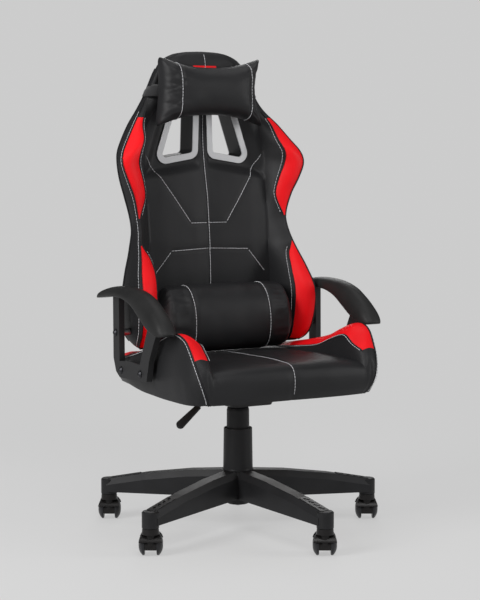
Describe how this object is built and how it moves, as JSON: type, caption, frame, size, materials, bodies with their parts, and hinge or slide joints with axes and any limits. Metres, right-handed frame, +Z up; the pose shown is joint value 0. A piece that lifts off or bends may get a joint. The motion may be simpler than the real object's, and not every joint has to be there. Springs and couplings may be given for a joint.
{
  "type": "gaming chair",
  "caption": "Racing-style gaming chair with winged back, harness openings, loop arms, head pillow, lumbar roll, gas lift and a star base on twin-wheel casters.",
  "frame": {"origin": "on the floor plane, under the axis of the gas lift column", "axes": "+Z up, the front of the chair faces -Y, +X towards the sitter's left hand"},
  "size_m": [0.6998, 0.6951, 1.142],
  "materials": {
    "nylon_black": "moulded nylon, fine texture",
    "trim_gloss_black": "gloss plastic trim",
    "steel_black": "black powder coat",
    "plastic_black": "moulded polypropylene",
    "steel_bright": "zinc plated steel",
    "rubber_black": "moulded rubber",
    "chrome": "polished chrome",
    "plywood": "raw birch plywood",
    "leather_black": "grained polyurethane leather",
    "leather_red": "grained polyurethane leather",
    "bezel_silver": "satin metallic",
    "arm_plastic": "moulded nylon",
    "arm_soft": "self-skinned polyurethane foam",
    "bolt_black": "black oxide",
    "elastic_black": "woven elastic",
    "wheel_nylon": "moulded nylon",
    "stitch_grey": "polyester thread and piping"
  },
  "bodies": {
    "base": {"star_base": "nylon_black", "leg_grip_inserts": "trim_gloss_black", "lift_outer_tube": "steel_black", "lift_guide_bush": "plastic_black", "lift_thrust_bearing": "steel_bright", "lift_rubber_buffer": "rubber_black", "cover_lower": "plastic_black"},
    "piston": {"lift_piston_rod": "steel_bright", "lift_rod_clip": "steel_bright"},
    "seat": {"lift_inner_cylinder": "chrome", "cover_upper": "plastic_black", "seat_plate": "steel_black", "seat_plate_bolts": "steel_bright", "seat_board_nuts": "steel_bright", "seat_board": "plywood", "seat_side_rail_left": "steel_black", "seat_side_rail_right": "steel_black", "seat_cushion": "leather_black", "seat_bolster_left": "leather_black", "seat_bolster_right": "leather_black", "back_frame": "steel_black", "back_centre_pad": "leather_black", "back_head_pad": "leather_black", "back_wing_left": "leather_red", "back_wing_right": "leather_red", "back_rear_cover": "leather_black", "harness_sleeves": "plastic_black", "harness_bezels_front": "bezel_silver", "harness_bezels_rear": "bezel_silver", "arm_frame_left": "arm_plastic", "arm_frame_right": "arm_plastic", "arm_pad_left": "arm_soft", "arm_pad_right": "arm_soft", "arm_bolts": "bolt_black", "arm_spacers": "steel_bright", "arm_nuts": "steel_bright"},
    "middle_cover": {"cover_middle": "plastic_black"},
    "lever": {"lever_rod": "steel_black", "lever_handle": "plastic_black"},
    "valve_pin": {"lift_valve_pin": "steel_bright"},
    "head_pillow": {"head_pillow": "leather_black", "head_strap": "elastic_black"},
    "lumbar_cushion": {"lumbar_cushion": "leather_black"},
    "caster_1": {"caster_hood_1": "plastic_black", "caster_stem_axle_1": "steel_bright"},
    "caster_roll_1": {"caster_wheels_1": "wheel_nylon"},
    "caster_2": {"caster_hood_2": "plastic_black", "caster_stem_axle_2": "steel_bright"},
    "caster_roll_2": {"caster_wheels_2": "wheel_nylon"},
    "caster_3": {"caster_hood_3": "plastic_black", "caster_stem_axle_3": "steel_bright"},
    "caster_roll_3": {"caster_wheels_3": "wheel_nylon"},
    "caster_4": {"caster_hood_4": "plastic_black", "caster_stem_axle_4": "steel_bright"},
    "caster_roll_4": {"caster_wheels_4": "wheel_nylon"},
    "caster_5": {"caster_hood_5": "plastic_black", "caster_stem_axle_5": "steel_bright"},
    "caster_roll_5": {"caster_wheels_5": "wheel_nylon"}
  },
  "joints": [
    {"name": "seat_swivel", "type": "hinge", "parent": "base", "child": "piston", "pos_m": [0, 0, 0.07], "axis": [0, 0, 1], "continuous": true},
    {"name": "seat_lift", "type": "slide", "parent": "piston", "child": "seat", "axis": [0, 0, 1], "range_m": [0, 0.08]},
    {"name": "cover_follow", "type": "slide", "parent": "base", "child": "middle_cover", "axis": [0, 0, 1], "range_m": [0, 0.04]},
    {"name": "lever_lift", "type": "hinge", "parent": "seat", "child": "lever", "pos_m": [-0.03, 0, 0.3403], "axis": [0, 1, 0], "range_deg": [0, 8], "stiffness_Nm_per_rad": 2, "springref_deg": -11.46},
    {"name": "valve_press", "type": "slide", "parent": "seat", "child": "valve_pin", "axis": [0, 0, -1], "range_m": [0, 0.0052]},
    {"name": "head_pillow_slide", "type": "slide", "parent": "seat", "child": "head_pillow", "axis": [0, 0, 1], "range_m": [0, 0.03]},
    {"name": "lumbar_slide", "type": "slide", "parent": "seat", "child": "lumbar_cushion", "axis": [0, 0, 1], "range_m": [0, 0.12]},
    {"name": "caster_swivel_1", "type": "hinge", "parent": "base", "child": "caster_1", "pos_m": [0.15889, 0.29265, 0.08], "axis": [0, 0, 1], "continuous": true},
    {"name": "caster_roll_1", "type": "hinge", "parent": "caster_1", "child": "caster_roll_1", "pos_m": [0.16557, 0.30495, 0.025], "axis": [0.8788, -0.4772, 0], "continuous": true},
    {"name": "caster_swivel_2", "type": "hinge", "parent": "base", "child": "caster_2", "pos_m": [-0.22922, 0.24155, 0.08], "axis": [0, 0, 1], "continuous": true},
    {"name": "caster_roll_2", "type": "hinge", "parent": "caster_2", "child": "caster_roll_2", "pos_m": [-0.22254, 0.25385, 0.025], "axis": [0.8788, -0.4772, 0], "continuous": true},
    {"name": "caster_swivel_3", "type": "hinge", "parent": "base", "child": "caster_3", "pos_m": [-0.30056, -0.14336, 0.08], "axis": [0, 0, 1], "continuous": true},
    {"name": "caster_roll_3", "type": "hinge", "parent": "caster_3", "child": "caster_roll_3", "pos_m": [-0.29388, -0.13106, 0.025], "axis": [0.8788, -0.4772, 0], "continuous": true},
    {"name": "caster_swivel_4", "type": "hinge", "parent": "base", "child": "caster_4", "pos_m": [0.04346, -0.33015, 0.08], "axis": [0, 0, 1], "continuous": true},
    {"name": "caster_roll_4", "type": "hinge", "parent": "caster_4", "child": "caster_roll_4", "pos_m": [0.05015, -0.31785, 0.025], "axis": [0.8788, -0.4772, 0], "continuous": true},
    {"name": "caster_swivel_5", "type": "hinge", "parent": "base", "child": "caster_5", "pos_m": [0.32742, -0.06068, 0.08], "axis": [0, 0, 1], "continuous": true},
    {"name": "caster_roll_5", "type": "hinge", "parent": "caster_5", "child": "caster_roll_5", "pos_m": [0.3341, -0.04838, 0.025], "axis": [0.8788, -0.4772, 0], "continuous": true}
  ],
  "couplings": [
    {"joint": "cover_follow", "follows": "seat_lift", "ratio": 0.5},
    {"joint": "valve_press", "follows": "lever_lift", "m_per_rad": 0.035}
  ]
}
